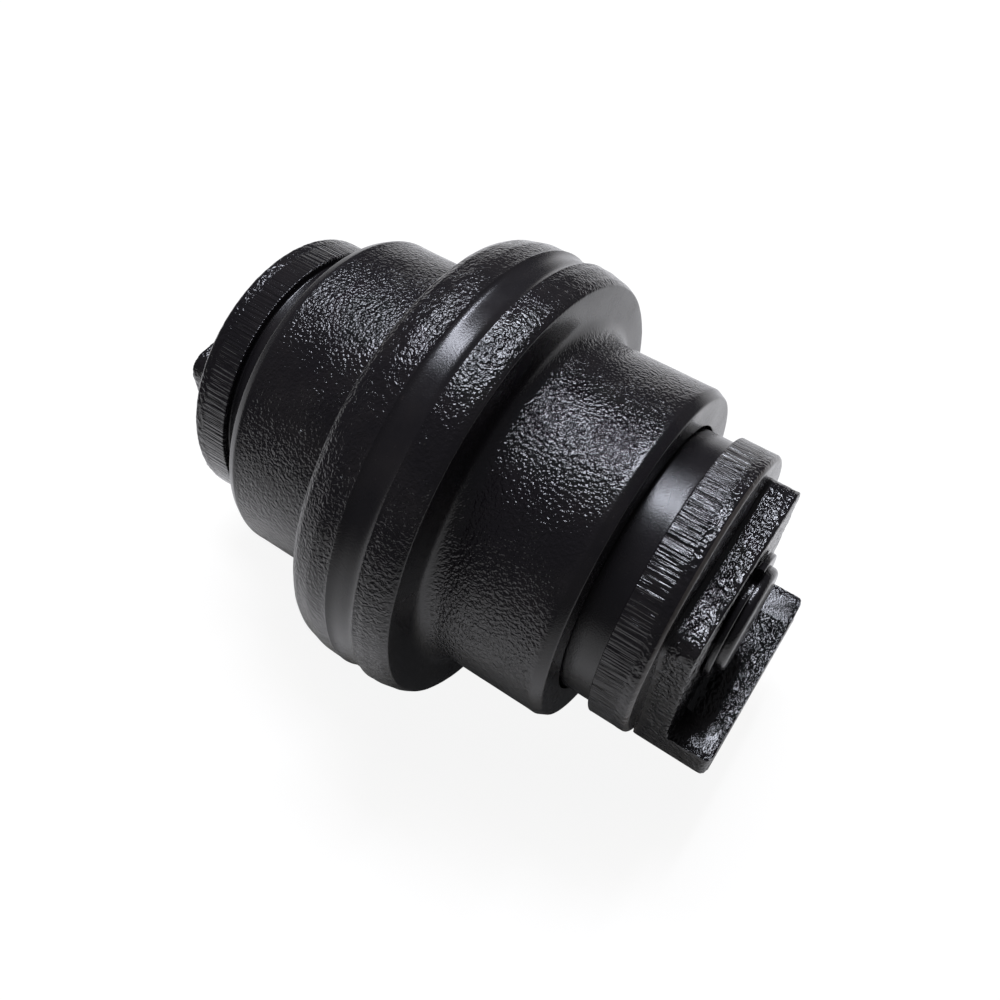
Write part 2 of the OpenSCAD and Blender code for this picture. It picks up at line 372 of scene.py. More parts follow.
def place(tree):
    """Object coordinates, the same split in three, and the radius from the roller axis."""
    spot = node(tree, "ShaderNodeTexCoord").outputs["Object"]
    split = node(tree, "ShaderNodeSeparateXYZ", {0: spot}).outputs
    flat = node(tree, "ShaderNodeVectorMath", {0: spot, 1: (1, 0, 1)}, operation="MULTIPLY")
    radius = node(tree, "ShaderNodeVectorMath", {0: flat}, operation="LENGTH").outputs["Value"]
    return spot, split["X"], split["Y"], split["Z"], radius


def between(tree, value, low, high, soft=0.4 * MM):
    """1 where the value lies between low and high, with soft edges."""
    rise = node(tree, "ShaderNodeMapRange", {"Value": value, "From Min": low - soft,
                "From Max": low + soft}, interpolation_type="SMOOTHSTEP")
    fall = node(tree, "ShaderNodeMapRange", {"Value": value, "From Min": high - soft,
                "From Max": high + soft, "To Min": 1.0, "To Max": 0.0},
                interpolation_type="SMOOTHSTEP")
    return node(tree, "ShaderNodeMath", {0: rise, 1: fall}, operation="MULTIPLY")


def enamel(name, finishes, zones, lump_mm, ridges=None):
    """Thick black machine enamel, brushed and dipped over steel. It is a glossy dielectric that
    hides the metal. Over forging scale it lies in worm-like lumps of about lump_mm, which
    glint one by one, over rolled skin it is pimpled at about 1 mm, and over turned faces only
    the tool's fine lines show through. zones gives the share of lumps, of pimples, of the paint
    that has run glossy and of the edge that is rubbed and dusty and painted lighter, a painted
    highlight for the light that edge catches."""
    material, tree = new_material(name)
    spot, x, y, z, radius = place(tree)
    lumpy, pimpled, shiny, worn_and_lit = zones(tree, x, y, z, radius)

    # Lumps of thick paint over forging scale, winding round each other
    bend = node(tree, "ShaderNodeTexNoise", {"Vector": spot, "Scale": grain(3.5), "Detail": 1.0})
    centred = node(tree, "ShaderNodeVectorMath", {0: bend.outputs["Color"], 1: (0.5, 0.5, 0.5)},
                   operation="SUBTRACT")
    shift = node(tree, "ShaderNodeVectorMath", {0: centred, "Scale": 2.2 * MM}, operation="SCALE")
    winding = node(tree, "ShaderNodeVectorMath", {0: spot, 1: shift}, operation="ADD")
    lumps = node(tree, "ShaderNodeTexNoise", {"Vector": winding, "Scale": grain(lump_mm),
                 "Detail": 1.5, "Roughness": 0.5})
    # Pimples 1 mm apart, a little coarser than the real ones and weaker in some patches
    pimples = node(tree, "ShaderNodeTexNoise", {"Vector": spot, "Scale": grain(1.0), "Detail": 1.0})
    patchy = node(tree, "ShaderNodeTexNoise", {"Vector": spot, "Scale": grain(14), "Detail": 3.0})
    patches = node(tree, "ShaderNodeMapRange", {"Value": patchy, "From Min": 0.35,
                   "From Max": 0.65, "To Min": 0.55, "To Max": 1.0})
    lump_share = node(tree, "ShaderNodeMath", {0: lumpy, 1: patches}, operation="MULTIPLY")
    pimple_share = node(tree, "ShaderNodeMath", {0: pimpled, 1: patches}, operation="MULTIPLY")
    # Turning lines under the paint: rings on faces and cylinders alike, 0.6 mm apart
    rings = node(tree, "ShaderNodeCombineXYZ", {0: radius, 1: y})
    lines = node(tree, "ShaderNodeTexNoise", {"Vector": rings, "Scale": grain(0.6),
                 "Detail": 3.0, "Roughness": 0.6})
    # Brush marks and settled dust in the paint everywhere, 0.5 mm
    peel = node(tree, "ShaderNodeTexNoise", {"Vector": spot, "Scale": grain(0.5), "Detail": 2.0})

    normal = node(tree, "ShaderNodeBump", {"Height": lumps, "Strength": lump_share,
                  "Distance": 0.55 * lump_mm * MM})
    normal = node(tree, "ShaderNodeBump", {"Height": pimples, "Strength": pimple_share,
                  "Distance": 0.62 * MM, "Normal": normal})
    normal = node(tree, "ShaderNodeBump", {"Height": lines, "Strength": 0.25,
                  "Distance": 0.04 * MM, "Normal": normal})
    normal = node(tree, "ShaderNodeBump", {"Height": peel, "Strength": 0.4,
                  "Distance": 0.12 * MM, "Normal": normal})
    if ridges:
        normal = ridges(tree, x, y, z, radius, normal)

    # A thin film of dust in broad patches, and single lighter specks, partly dust and partly painted
    # glints
    drift = node(tree, "ShaderNodeTexNoise", {"Vector": spot, "Scale": grain(22), "Detail": 5.0,
                 "Roughness": 0.6})
    dusty = node(tree, "ShaderNodeMapRange", {"Value": drift, "From Min": 0.45, "From Max": 0.8,
                 "To Max": 0.12})
    speck = node(tree, "ShaderNodeTexNoise", {"Vector": spot, "Scale": grain(0.9), "Detail": 1.0})
    glint_and_dust_specks = node(tree, "ShaderNodeMapRange", {"Value": speck, "From Min": 0.7, "From Max": 0.78,
                  "To Max": 0.15})
    dust_film_and_glints = node(tree, "ShaderNodeMath", {0: dusty, 1: glint_and_dust_specks}, operation="ADD")
    # Dust, painted glint specks and the rubbed edge's painted highlight, all in the dust colour
    dust_and_painted_light = node(tree, "ShaderNodeMath", {0: dust_film_and_glints, 1: worn_and_lit}, operation="MAXIMUM")
    shade = node(tree, "ShaderNodeMix", {0: dust_and_painted_light, 6: finishes.enamel, 7: finishes.dust_and_highlight},
                 data_type="RGBA")
    # Turned faces are a little duller than the lumps, where the paint has run together
    dull = node(tree, "ShaderNodeMapRange", {"Value": patchy, "From Min": 0.3, "From Max": 0.7,
                "To Min": 0.2, "To Max": 0.3})
    gloss = node(tree, "ShaderNodeMix", {"Factor": shiny, "A": dull, "B": 0.14})
    shader = node(tree, "ShaderNodeBsdfPrincipled", {
        "Base Color": shade.outputs[2], "Roughness": gloss, "IOR": 1.5, "Normal": normal})
    node(tree, "ShaderNodeOutputMaterial", {"Surface": shader})
    return material


def shell_zones(tree, x, y, z, radius):
    """Lumpy ribs beside the smooth rim groove, pimpled treads, smooth turned side faces."""
    s = bpy.context.scene.roller_shell
    lip = s.flange_w / 2 - 0.5 * MM
    left = between(tree, y, -lip, s.groove_shift - s.groove_w / 2, 0.8 * MM)
    right = between(tree, y, s.groove_shift + s.groove_w / 2, lip, 0.8 * MM)
    ribs = node(tree, "ShaderNodeMath", {0: left, 1: right}, operation="ADD")
    rim = node(tree, "ShaderNodeMapRange", {"Value": radius, "From Min": s.flange_d / 2 - 4 * MM,
               "From Max": s.flange_d / 2 - 3 * MM})
    lumpy = node(tree, "ShaderNodeMath", {0: ribs, 1: rim}, operation="MULTIPLY")
    station = node(tree, "ShaderNodeMath", {0: y}, operation="ABSOLUTE")
    tread = between(tree, station, s.flange_w / 2 + 2 * MM, s.half_l - s.chamfer - 1 * MM, 2 * MM)
    shiny = node(tree, "ShaderNodeMath", {0: lumpy, 1: tread}, operation="MAXIMUM")
    return lumpy, tread, shiny, 0.0


def collar_zones(tree, x, y, z, radius):
    """The neck is turned, the disc rim is half ridged and half lumpy, and block and foot are as
    forged except for the milled lands and the mounting pad."""
    s = bpy.context.scene.roller_collar
    station = node(tree, "ShaderNodeMath", {0: y}, operation="ABSOLUTE")
    rim = between(tree, station, s.disc_start + 8 * MM, s.disc_end - 1 * MM, 1.2 * MM)
    block = node(tree, "ShaderNodeMapRange", {"Value": station, "From Min": s.disc_end + 0.6 * MM,
                 "From Max": s.disc_end + 2 * MM})
    across = node(tree, "ShaderNodeMath", {0: x}, operation="ABSOLUTE")
    wide = between(tree, across, s.land_start, s.block_w / 2 - 3 * MM, 0.5 * MM)
    foot_top = s.foot_t - s.pad_drop
    below = node(tree, "ShaderNodeMapRange", {"Value": z, "From Min": foot_top + 0.2 * MM,
                 "From Max": foot_top - 0.2 * MM})
    beyond = between(tree, station, s.block_end + 0.4 * MM, s.foot_end - 2 * MM)
    milled = node(tree, "ShaderNodeMath", {0: wide, 1: below}, operation="MULTIPLY")
    land = node(tree, "ShaderNodeMath", {0: milled, 1: beyond}, operation="MULTIPLY")
    unmilled = node(tree, "ShaderNodeMath", {0: 1.0, 1: land}, operation="SUBTRACT")
    lifted = node(tree, "ShaderNodeMapRange", {"Value": z, "From Min": 0.4 * MM - s.pad_drop,
                  "From Max": 1.2 * MM - s.pad_drop})
    forged = node(tree, "ShaderNodeMath", {0: block, 1: unmilled}, operation="MULTIPLY")
    above = node(tree, "ShaderNodeMath", {0: forged, 1: lifted}, operation="MULTIPLY")
    lumpy = node(tree, "ShaderNodeMath", {0: rim, 1: above}, operation="MAXIMUM")
    disc = between(tree, station, s.disc_start, s.disc_end - s.chamfer)
    outside = node(tree, "ShaderNodeMapRange", {"Value": radius, "From Min": s.disc_d / 2 - 3 * MM,
                   "From Max": s.disc_d / 2 - 2 * MM})
    ridged = node(tree, "ShaderNodeMath", {0: disc, 1: outside}, operation="MULTIPLY")
    glossy = node(tree, "ShaderNodeMath", {0: lumpy, 1: ridged}, operation="MAXIMUM")
    shiny = node(tree, "ShaderNodeMath", {0: glossy, 1: land}, operation="MAXIMUM")
    # The disc's outer chamfer is painted lighter in the dust colour: partly rubbing and dust, partly
    # a painted highlight for the light that edge catches
    edge = between(tree, station, s.disc_end - s.chamfer, s.disc_end + 0.1 * MM, 0.2 * MM)
    rubbed_and_lit = node(tree, "ShaderNodeMath", {0: edge, 1: outside}, operation="MULTIPLY")
    worn_and_lit = node(tree, "ShaderNodeMath", {0: rubbed_and_lit, 1: 0.55}, operation="MULTIPLY")
    return lumpy, 0.0, shiny, worn_and_lit


def collar_ridges(tree, x, y, z, radius, normal):
    """Fine axial ridges on the disc rim, about 1 mm apart, left by the forging die."""
    s = bpy.context.scene.roller_collar
    squeeze = 0.04  # stations pressed together, so that the pattern runs out along the axis
    station = node(tree, "ShaderNodeMath", {0: y}, operation="ABSOLUTE")
    turn = node(tree, "ShaderNodeMath", {0: x, 1: z}, operation="ARCTAN2")
    run = node(tree, "ShaderNodeMath", {0: turn, 1: s.disc_d / 2}, operation="MULTIPLY")
    pressed = node(tree, "ShaderNodeMath", {0: y, 1: squeeze}, operation="MULTIPLY")
    stretched = node(tree, "ShaderNodeCombineXYZ", {0: run, 1: pressed})
    ridges = node(tree, "ShaderNodeTexNoise", {"Vector": stretched, "Scale": grain(1.0),
                  "Detail": 2.0, "Roughness": 0.5})
    zone = between(tree, station, s.disc_start - 0.5 * MM, s.disc_start + 8.5 * MM, 0.8 * MM)
    rim = node(tree, "ShaderNodeMapRange", {"Value": radius, "From Min": s.disc_d / 2 - 1.2 * MM,
               "From Max": s.disc_d / 2 - 0.7 * MM})
    share = node(tree, "ShaderNodeMath", {0: zone, 1: rim}, operation="MULTIPLY")
    return node(tree, "ShaderNodeBump", {"Height": ridges, "Strength": share,
                "Distance": 0.9 * MM, "Normal": normal})


def small_part_zones(tree, x, y, z, radius):
    """Turned and bent pieces: smooth, with a few runs in the paint."""
    return 0.25, 0.0, 0.6, 0.0


def metal(name, base, rough, lines_mm, along_axis, stain, stain_share):
    """Bare machined metal: an opaque conductor whose tool lines spread the highlight. The lines
    run along the roller axis where along_axis is set, and round it elsewhere."""
    material, tree = new_material(name)
    spot, x, y, z, radius = place(tree)
    spread = node(tree, "ShaderNodeCombineXYZ", {0: x, 1: z} if along_axis else {0: radius, 1: y})
    lines = node(tree, "ShaderNodeTexNoise", {"Vector": spread, "Scale": grain(lines_mm),
                 "Detail": 4.0, "Roughness": 0.65})
    cloud = node(tree, "ShaderNodeTexNoise", {"Vector": spot, "Scale": grain(4), "Detail": 4.0})
    tarnish = node(tree, "ShaderNodeMapRange", {"Value": cloud, "From Min": 0.4,
                   "From Max": 0.75, "To Max": stain_share})
    shade = node(tree, "ShaderNodeMix", {0: tarnish, 6: base, 7: stain}, data_type="RGBA")
    gloss = node(tree, "ShaderNodeMapRange", {"Value": lines, "From Min": 0.3,
                 "From Max": 0.7, "To Min": rough * 0.8, "To Max": rough * 1.25})
    bump = node(tree, "ShaderNodeBump", {"Height": lines, "Strength": 0.4, "Distance": 0.02 * MM})
    shader = node(tree, "ShaderNodeBsdfPrincipled", {"Base Color": shade.outputs[2],
                  "Metallic": 1.0, "Roughness": gloss, "Normal": bump})
    node(tree, "ShaderNodeOutputMaterial", {"Surface": shader})
    return material


def nitrile_rubber(finishes):
    """Moulded nitrile rubber: black, soft and greasy, with a broad dull highlight and bloom."""
    material, tree = new_material("nitrile rubber, moulded")
    spot = place(tree)[0]
    pores = node(tree, "ShaderNodeTexNoise", {"Vector": spot, "Scale": grain(0.5), "Detail": 3.0})
    bloom = node(tree, "ShaderNodeTexNoise", {"Vector": spot, "Scale": grain(6), "Detail": 4.0})
    share = node(tree, "ShaderNodeMapRange", {"Value": bloom, "From Min": 0.5, "From Max": 0.8,
                 "To Max": 0.3})
    shade = node(tree, "ShaderNodeMix", {0: share, 6: finishes.rubber, 7: finishes.dust_and_highlight},
                 data_type="RGBA")
    gloss = node(tree, "ShaderNodeMapRange", {"Value": bloom, "To Min": 0.45, "To Max": 0.7})
    bump = node(tree, "ShaderNodeBump", {"Height": pores, "Strength": 0.3, "Distance": 0.03 * MM})
    shader = node(tree, "ShaderNodeBsdfPrincipled", {"Base Color": shade.outputs[2],
                  "Roughness": gloss, "IOR": 1.52, "Normal": bump})
    node(tree, "ShaderNodeOutputMaterial", {"Surface": shader})
    return material


def studio_floor(finishes):
    """Matt white paper: a pale diffuse sheet, lifted for the eye as if lit from below, while the
    roller's gloss still mirrors the plain sheet and its shadow."""
    material, tree = new_material("matt paper floor")
    spot = node(tree, "ShaderNodeTexCoord").outputs["Object"]
    mottle = node(tree, "ShaderNodeTexNoise", {"Vector": spot, "Scale": grain(60), "Detail": 2.0})
    share = node(tree, "ShaderNodeMapRange", {"Value": mottle, "To Max": 0.02})
    shade = node(tree, "ShaderNodeMix", {0: share, 6: finishes.floor, 7: linear("#c9c8c6")},
                 data_type="RGBA")
    paper = node(tree, "ShaderNodeBsdfPrincipled", {"Base Color": shade.outputs[2],
                 "Roughness": 0.8})
    glow = node(tree, "ShaderNodeEmission", {"Color": linear("#ffffff"), "Strength": 1.05})
    seen = node(tree, "ShaderNodeLightPath").outputs["Is Camera Ray"]
    lift = node(tree, "ShaderNodeMath", {0: seen, 1: 0.86}, operation="MULTIPLY")
    both = node(tree, "ShaderNodeMixShader", {0: lift, 1: paper, 2: glow})
    node(tree, "ShaderNodeOutputMaterial", {"Surface": both})
    return material


# ---------------------------------------------------------------- operators

class ROLLER_OT_shell(Operator):
    """Turn the rotating shell with its flange, groove, treads and seal cavities"""
    bl_idname = "roller.shell"
    bl_label = "Roller shell"

    def execute(self, context):
        s = context.scene.roller_shell
        rim_r, tread_r, half_w = s.flange_d / 2, s.tread_d / 2, s.flange_w / 2
        crown_flat, shoulder, edge_r, lead_in = 3 * MM, 2.2 * MM, 0.5 * MM, 2 * MM
        rim_pitch, tread_pitch, inner_pitch = 1.1 * MM, 1.15 * MM, 6 * MM
        taper = half_w - s.groove_shift - s.groove_w / 2 - crown_flat
        lip = [s.groove_shift - s.groove_w / 2, s.groove_shift + s.groove_w / 2]
        groove = [(rim_r - s.groove_depth * (1 - (i / 8 - 1) ** 4), lip[0] + s.groove_w * i / 16)
                  for i in range(17)]
        # Stations and radii inside: mouth, tapered seal cavity, bush seat and oil chamber
        mouth_floor, cavity_floor, chamber_end = 51.7 * MM, 39.9 * MM, 11.9 * MM
        ramp_r, cavity_r, seat_r, chamber_r = 32.875 * MM, 32.05 * MM, 20.05 * MM, 23.55 * MM
        inner = [(s.mouth_d / 2, mouth_floor), (ramp_r, mouth_floor), (cavity_r, cavity_floor),
                 (seat_r, cavity_floor), (seat_r, chamber_end), (chamber_r, chamber_end)]

        def outer(first):
            flank = [first, (rim_r, half_w - taper),
                     (rim_r - s.rim_drop / 2, half_w - shoulder), (rim_r - s.rim_drop, half_w),
                     (tread_r + s.fillet, half_w)]
            tread = [(tread_r, s.half_l - s.chamfer), (tread_r - s.chamfer / 2, s.half_l),
                     (s.mouth_d / 2, s.half_l), (s.mouth_d / 2, s.half_l - lead_in)]
            root = arc(tread_r + s.fillet, half_w + s.fillet, s.fillet, 270, 180)
            return (steps(rounded(flank, edge_r), rim_pitch) + root[1:]
                    + steps(rounded([root[-1]] + tread, edge_r), tread_pitch)[1:])

        right = outer(groove[-1])
        left = mirrored(outer((rim_r, -lip[0])))
        inside = steps(inner, inner_pitch)
        outline = left + groove[1:-1] + right + inside + mirrored(inside)
        shell = turned("roller_shell_forging", outline, s.facets)

        def forged(r, y, z):
            rib = ramp(r, rim_r - 6 * MM, rim_r - 2.4 * MM) * (
                1 - ramp(y, lip[0] - 1 * MM, lip[0]) * (1 - ramp(y, lip[1], lip[1] + 1 * MM)))
            run = ramp(abs(y), half_w, half_w + 4 * MM) * (
                1 - ramp(abs(y), s.half_l - 6 * MM, s.half_l - 3 * MM)) * (r > tread_r - 1 * MM)
            return max(rib, 0.5 * run)

        skin_group(shell, "as forged", forged)
        waves(shell, "as forged", 9 * MM, s.wave_depth)
        waves(shell, "as forged", 2.6 * MM, 0.07 * MM)
        finish_piece(shell, "roller_shell_forging", "roller", "roller_shell",
                     enamel("black enamel on turned and forged shell",
                            context.scene.roller_finish, shell_zones, 1.0))
        return {"FINISHED"}


class ROLLER_OT_collars(Operator):
    """Forge the two end collars with neck, ridged disc, bracket block and mounting foot"""
    bl_idname = "roller.collars"
    bl_label = "End collars"

    def turned_half(self, s):
        """Neck and disc, with the hub and the seal cavity."""
        neck_r, disc_r = s.neck_d / 2, s.disc_d / 2
        # Stations of the hub's nose, the neck's nose and the floor of the tapered seal cavity
        hub_nose, neck_nose, cavity_floor = 43.1 * MM, 53.3 * MM, 62.1 * MM
        core_r, hub_r, cavity_r, ramp_r = 15 * MM, 22.96 * MM, 32.26 * MM, 32.875 * MM
        back_r, edge_r, pitch = 36 * MM, 0.7 * MM, 0.9 * MM
        inner = [(core_r, hub_nose), (hub_r, hub_nose), (hub_r, cavity_floor),
                 (cavity_r, cavity_floor), (ramp_r, neck_nose), (neck_r, neck_nose)]
        outer = rounded([(neck_r, neck_nose), (neck_r, s.disc_start), (disc_r, s.disc_start),
                         (disc_r, s.disc_end - s.chamfer), (disc_r - s.chamfer, s.disc_end),
                         (back_r, s.disc_end)], edge_r, 4)
        outline = inner + steps(outer, pitch)[1:] + [(core_r, s.disc_end)]
        disc = turned("collar", outline, s.facets)

        def ridged(r, y, z):
            return ramp(r, disc_r - 1.5 * MM, disc_r - 0.5 * MM) * ramp(
                y, s.disc_start, s.disc_start + 0.8 * MM) * (
                1 - ramp(y, s.disc_start + 7.5 * MM, s.disc_start + 9.5 * MM))

        def lumpy(r, y, z):
            return ramp(r, disc_r - 1.5 * MM, disc_r - 0.5 * MM) * ramp(
                y, s.disc_start + 7 * MM, s.disc_start + 9 * MM)

        # Arc length and station, the station pressed together so that the pattern runs out into
        # ridges along the axis
        uv = disc.data.uv_layers.new(name="rim")
        for loop in disc.data.loops:
            co = disc.data.vertices[loop.vertex_index].co
            uv.data[loop.index].uv = (math.atan2(co.x, co.z) * disc_r, co.y * 0.04)
        skin_group(disc, "ridged", ridged)
        skin_group(disc, "lumpy", lumpy)
        waves(disc, "ridged", 1.1 * MM, s.ridge_depth, coords="UV")
        waves(disc, "lumpy", 1.6 * MM, 0.25 * MM)
        disc.data.uv_layers.remove(disc.data.uv_layers["rim"])
        return disc

    def bracket(self, s):
        """Block and foot, rounded and wavy as they leave the die."""
        overlap, foot_corner, top_corner, root = 1 * MM, 2.5 * MM, 7 * MM, 2 * MM
        back = s.disc_end - overlap
        foot_top = s.foot_t - s.pad_drop
        deselect()
        bpy.ops.mesh.primitive_cube_add(
            size=1, location=(0, (back + s.block_end) / 2, (s.block_top - s.pad_drop) / 2),
            scale=(s.block_w, s.block_end - back, s.block_top + s.pad_drop))
        block = bpy.context.object
        place_in_mesh(block)
        edit(block)
        bpy.ops.mesh.select_all(action="SELECT")
        bpy.ops.mesh.bisect(plane_co=(0, 0, foot_top), plane_no=(0, 0, 1))
        select_where(block, "FACE",
                     lambda f: f.normal.y > 0.9 and f.calc_center_median().z < foot_top)
        bpy.ops.mesh.extrude_region_move(
            TRANSFORM_OT_translate={"value": (0, s.foot_end - s.block_end, 0)})

        def along(axis):
            return lambda e: abs((e.verts[0].co - e.verts[1].co).normalized()[axis]) > 0.99

        def middle(e):
            return (e.verts[0].co + e.verts[1].co) / 2

        select_where(block, "EDGE", lambda e: along(2)(e) and middle(e).y > s.foot_end - MM)
        bpy.ops.mesh.bevel(offset=foot_corner, segments=5)
        select_where(block, "EDGE", lambda e: along(1)(e) and middle(e).z > s.block_top - MM)
        bpy.ops.mesh.bevel(offset=top_corner, segments=8)
        select_where(block, "EDGE", lambda e: along(0)(e) and abs(middle(e).z - foot_top) < 0.1 * MM
                     and abs(middle(e).y - s.block_end) < 0.1 * MM)
        bpy.ops.mesh.bevel(offset=root, segments=4)
        done()
        apply_modifier(block, "REMESH", mode="VOXEL", voxel_size=s.voxel)

        def forged(r, y, z):
            return (ramp(z, 0.3 * MM - s.pad_drop, 1.5 * MM - s.pad_drop)
                    * ramp(y, s.disc_end - 0.5 * MM, s.disc_end + 1 * MM))

        apply_modifier(block, "SMOOTH", factor=0.5, iterations=4)
        skin_group(block, "as forged", forged)
        waves(block, "as forged", 7 * MM, 0.5 * MM)
        waves(block, "as forged", 1.7 * MM, 0.35 * MM)
        return block

    def execute(self, context):
        s = context.scene.roller_collar
        shaft = context.scene.roller_shaft
        collar = self.turned_half(s)
        boolean(collar, self.bracket(s), "UNION")
        # The rods of the shaft bore and the pin hole run out past the metal on both sides
        before, beyond, below, above = 40 * MM, 110 * MM, -60 * MM, -10 * MM
        bore = rod(shaft.shaft_d / 2, (0, before, 0), (0, beyond, 0), 160)
        boolean(collar, bore, "DIFFERENCE")
        pin_hole = rod(shaft.pin_d / 2, (0, shaft.pin_y, below), (0, shaft.pin_y, above))
        boolean(collar, pin_hole, "DIFFERENCE")
        land_z = s.foot_t - s.pad_drop - s.land_depth
        bolt_y = (s.disc_end + s.foot_end) / 2
        cutter = 20 * MM
        past_pad = 5 * MM
        for sign in SIDES.values():
            deselect()
            bpy.ops.mesh.primitive_cube_add(
                size=cutter, location=(sign * (s.land_start + cutter / 2),
                                       s.block_end + cutter / 2, land_z + cutter / 2))
            mill = bpy.context.object
            place_in_mesh(mill)
            boolean(collar, mill, "DIFFERENCE")
            x = sign * s.bolt_spacing / 2
            hole = rod(s.bolt_d / 2, (x, bolt_y, -s.pad_drop - past_pad),
                       (x, bolt_y, land_z - s.bolt_floor))
            boolean(collar, hole, "DIFFERENCE")
        paint = enamel("black enamel on forged collar", context.scene.roller_finish,
                       collar_zones, 1.5, collar_ridges)
        twin = collar.copy()
        twin.data = collar.data.copy()
        context.scene.collection.objects.link(twin)
        twin.scale.y = -1
        place_in_mesh(twin)
        edit(twin)
        face_outwards()
        done()
        for obj, side in ((collar, "right"), (twin, "left")):
            finish_piece(obj, f"collar_forging_{side}", "frame_side", f"collar_{side}",
                         paint)
        return {"FINISHED"}


class ROLLER_OT_shaft(Operator):
    """Turn the fixed shaft with its ring grooves, seal grooves, pin holes and oil way"""
    bl_idname = "roller.shaft"
    bl_label = "Shaft"

    def execute(self, context):
        s = context.scene.roller_shaft
        r, end = s.shaft_d / 2, s.half_l
        # Grooves for the retaining ring and for the O-ring
        play = 0.05 * MM
        ring_out, ring_in = s.ring_start + s.ring_t + play, s.ring_start - play
        seal_out, seal_in, seal_depth = 61.84 * MM, 58.46 * MM, 2.64 * MM
        side = [(r, ring_out), (r - s.ring_bite, ring_out), (r - s.ring_bite, ring_in),
                (r, ring_in), (r, seal_out), (r - seal_depth, seal_out),
                (r - seal_depth, seal_in), (r, seal_in)]
        nose = arc(r - s.edge, end - s.edge, s.edge, 90, 0, 6)
        # A centre drilling in the right end, and the plug's seat and the oil way in the left
        centre, seat_r, seat_depth, bevel = 3 * MM, 7 * MM, 15 * MM, 0.5 * MM
        oil_r, oil_end = 4 * MM, 5 * MM
        right = [(0, end - centre), (centre, end)] + nose + side
        left = mirrored([(oil_r, end - seat_depth), (seat_r, end - seat_depth),
                         (seat_r, end - bevel), (7.5 * MM, end)] + nose + side)
        path = right + left + [(oil_r, oil_end), (0, oil_end)]
        shaft = turned("shaft_bar", path, 144, closed=False)
        outside, pin_top, cross_r = 30 * MM, -10.5 * MM, 2.5 * MM
        for y in (-s.pin_y, s.pin_y):
            pin_hole = rod(s.pin_d / 2, (0, y, -outside), (0, y, pin_top))
            boolean(shaft, pin_hole, "DIFFERENCE")
        cross_hole = rod(cross_r, (0, 0, 0), (0, 0, 20 * MM), 32)
        boolean(shaft, cross_hole, "DIFFERENCE")
        apply_modifier(shaft, "BEVEL", width=0.25 * MM, segments=2, limit_method="ANGLE",
                       angle_limit=math.radians(50))
        finish_piece(shaft, "shaft_bar", "frame_side", "shaft",
                     enamel("black enamel on turned shaft", context.scene.roller_finish,
                            small_part_zones, 1.0))
        return {"FINISHED"}


class ROLLER_OT_rings(Operator):
    """Bend the two open retaining rings"""
    bl_idname = "roller.rings"
    bl_label = "Retaining rings"

    def execute(self, context):
        s = context.scene.roller_shaft
        inner, outer = s.shaft_d / 2 - s.ring_bite, s.shaft_d / 2 + s.ring_rim
        half_gap = math.asin(s.ring_gap / 2 / ((inner + outer) / 2))
        paint = enamel("black enamel on spring steel", context.scene.roller_finish,
                       small_part_zones, 1.0)
        for side, sign in SIDES.items():
            deselect()
            bpy.ops.mesh.primitive_plane_add(
                size=1, location=((inner + outer) / 2, sign * (s.ring_start + s.ring_t / 2), 0))
            ring = bpy.context.object
            ring.scale = (outer - inner, s.ring_t, 1)
            place_in_mesh(ring)
            edit(ring)
            bpy.ops.mesh.select_all(action="SELECT")
            bpy.ops.mesh.bevel(offset=0.55 * MM, segments=4, affect="VERTICES")
            bpy.ops.mesh.select_all(action="SELECT")
            # The section starts beside the gap, which faces up, and goes round to its other side
            bpy.ops.transform.rotate(value=math.pi / 2 + half_gap, orient_axis="Y",
                                     center_override=(0, 0, 0))
            bpy.ops.mesh.spin(steps=120, angle=2 * math.pi - 2 * half_gap, center=(0, 0, 0),
                              axis=(0, 1, 0))
            weld(0.001 * MM)
            face_outwards()
            done()
            finish_piece(ring, f"retaining_clip_{side}", "frame_side", f"retaining_ring_{side}",
                         paint)
        return {"FINISHED"}


class ROLLER_OT_inner_finishes(Operator):
    """Give bushes, seals, pins and the oil plug their materials"""
    bl_idname = "roller.inner_finishes"
    bl_label = "Inner finishes"

    def execute(self, context):
        c = context.scene.roller_finish
        # Cast and bored bearing bronze: warm, with brown clouds where oil has stained it
        bronze = metal("bearing bronze, bored", c.bronze, 0.3, 0.25, False, linear("#5a3a20"), 0.6)
        # Lapped chrome iron: near-mirror rings with very fine lines round them
        lapped = metal("chrome iron, lapped", c.ground, 0.16, 0.15, False, linear("#5e6063"), 0.4)
        # Ground dowel steel: fine grinding marks and a thin oil tint
        dowel = metal("dowel steel, ground", c.ground, 0.24, 0.2, True, linear("#4c4a46"), 0.5)
        # Zinc-plated steel: grey and softly bright, with white bloom in patches
        zinc = metal("steel, zinc plated", c.zinc, 0.36, 0.4, False, linear("#c9cbc8"), 0.5)
        # Annealed copper: a soft washer, browned by handling
        copper = metal("copper, annealed", c.copper, 0.34, 0.3, False, linear("#5d2f1c"), 0.6)
        rubber = nitrile_rubber(c)
        finish = {"bush": bronze, "rotating_seal_ring": lapped, "fixed_seal_ring": lapped,
                  "rotating_toric": rubber, "fixed_toric": rubber, "shaft_oring": rubber,
                  "lock_pin": dowel}
        chosen = {f"{part}_{side}": m for part, m in finish.items() for side in SIDES}
        chosen.update({"oil_plug": zinc, "oil_plug_seal": copper})
        for name, material in chosen.items():
            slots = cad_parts[name].data.materials
            slots.clear()
            slots.append(material)
        return {"FINISHED"}


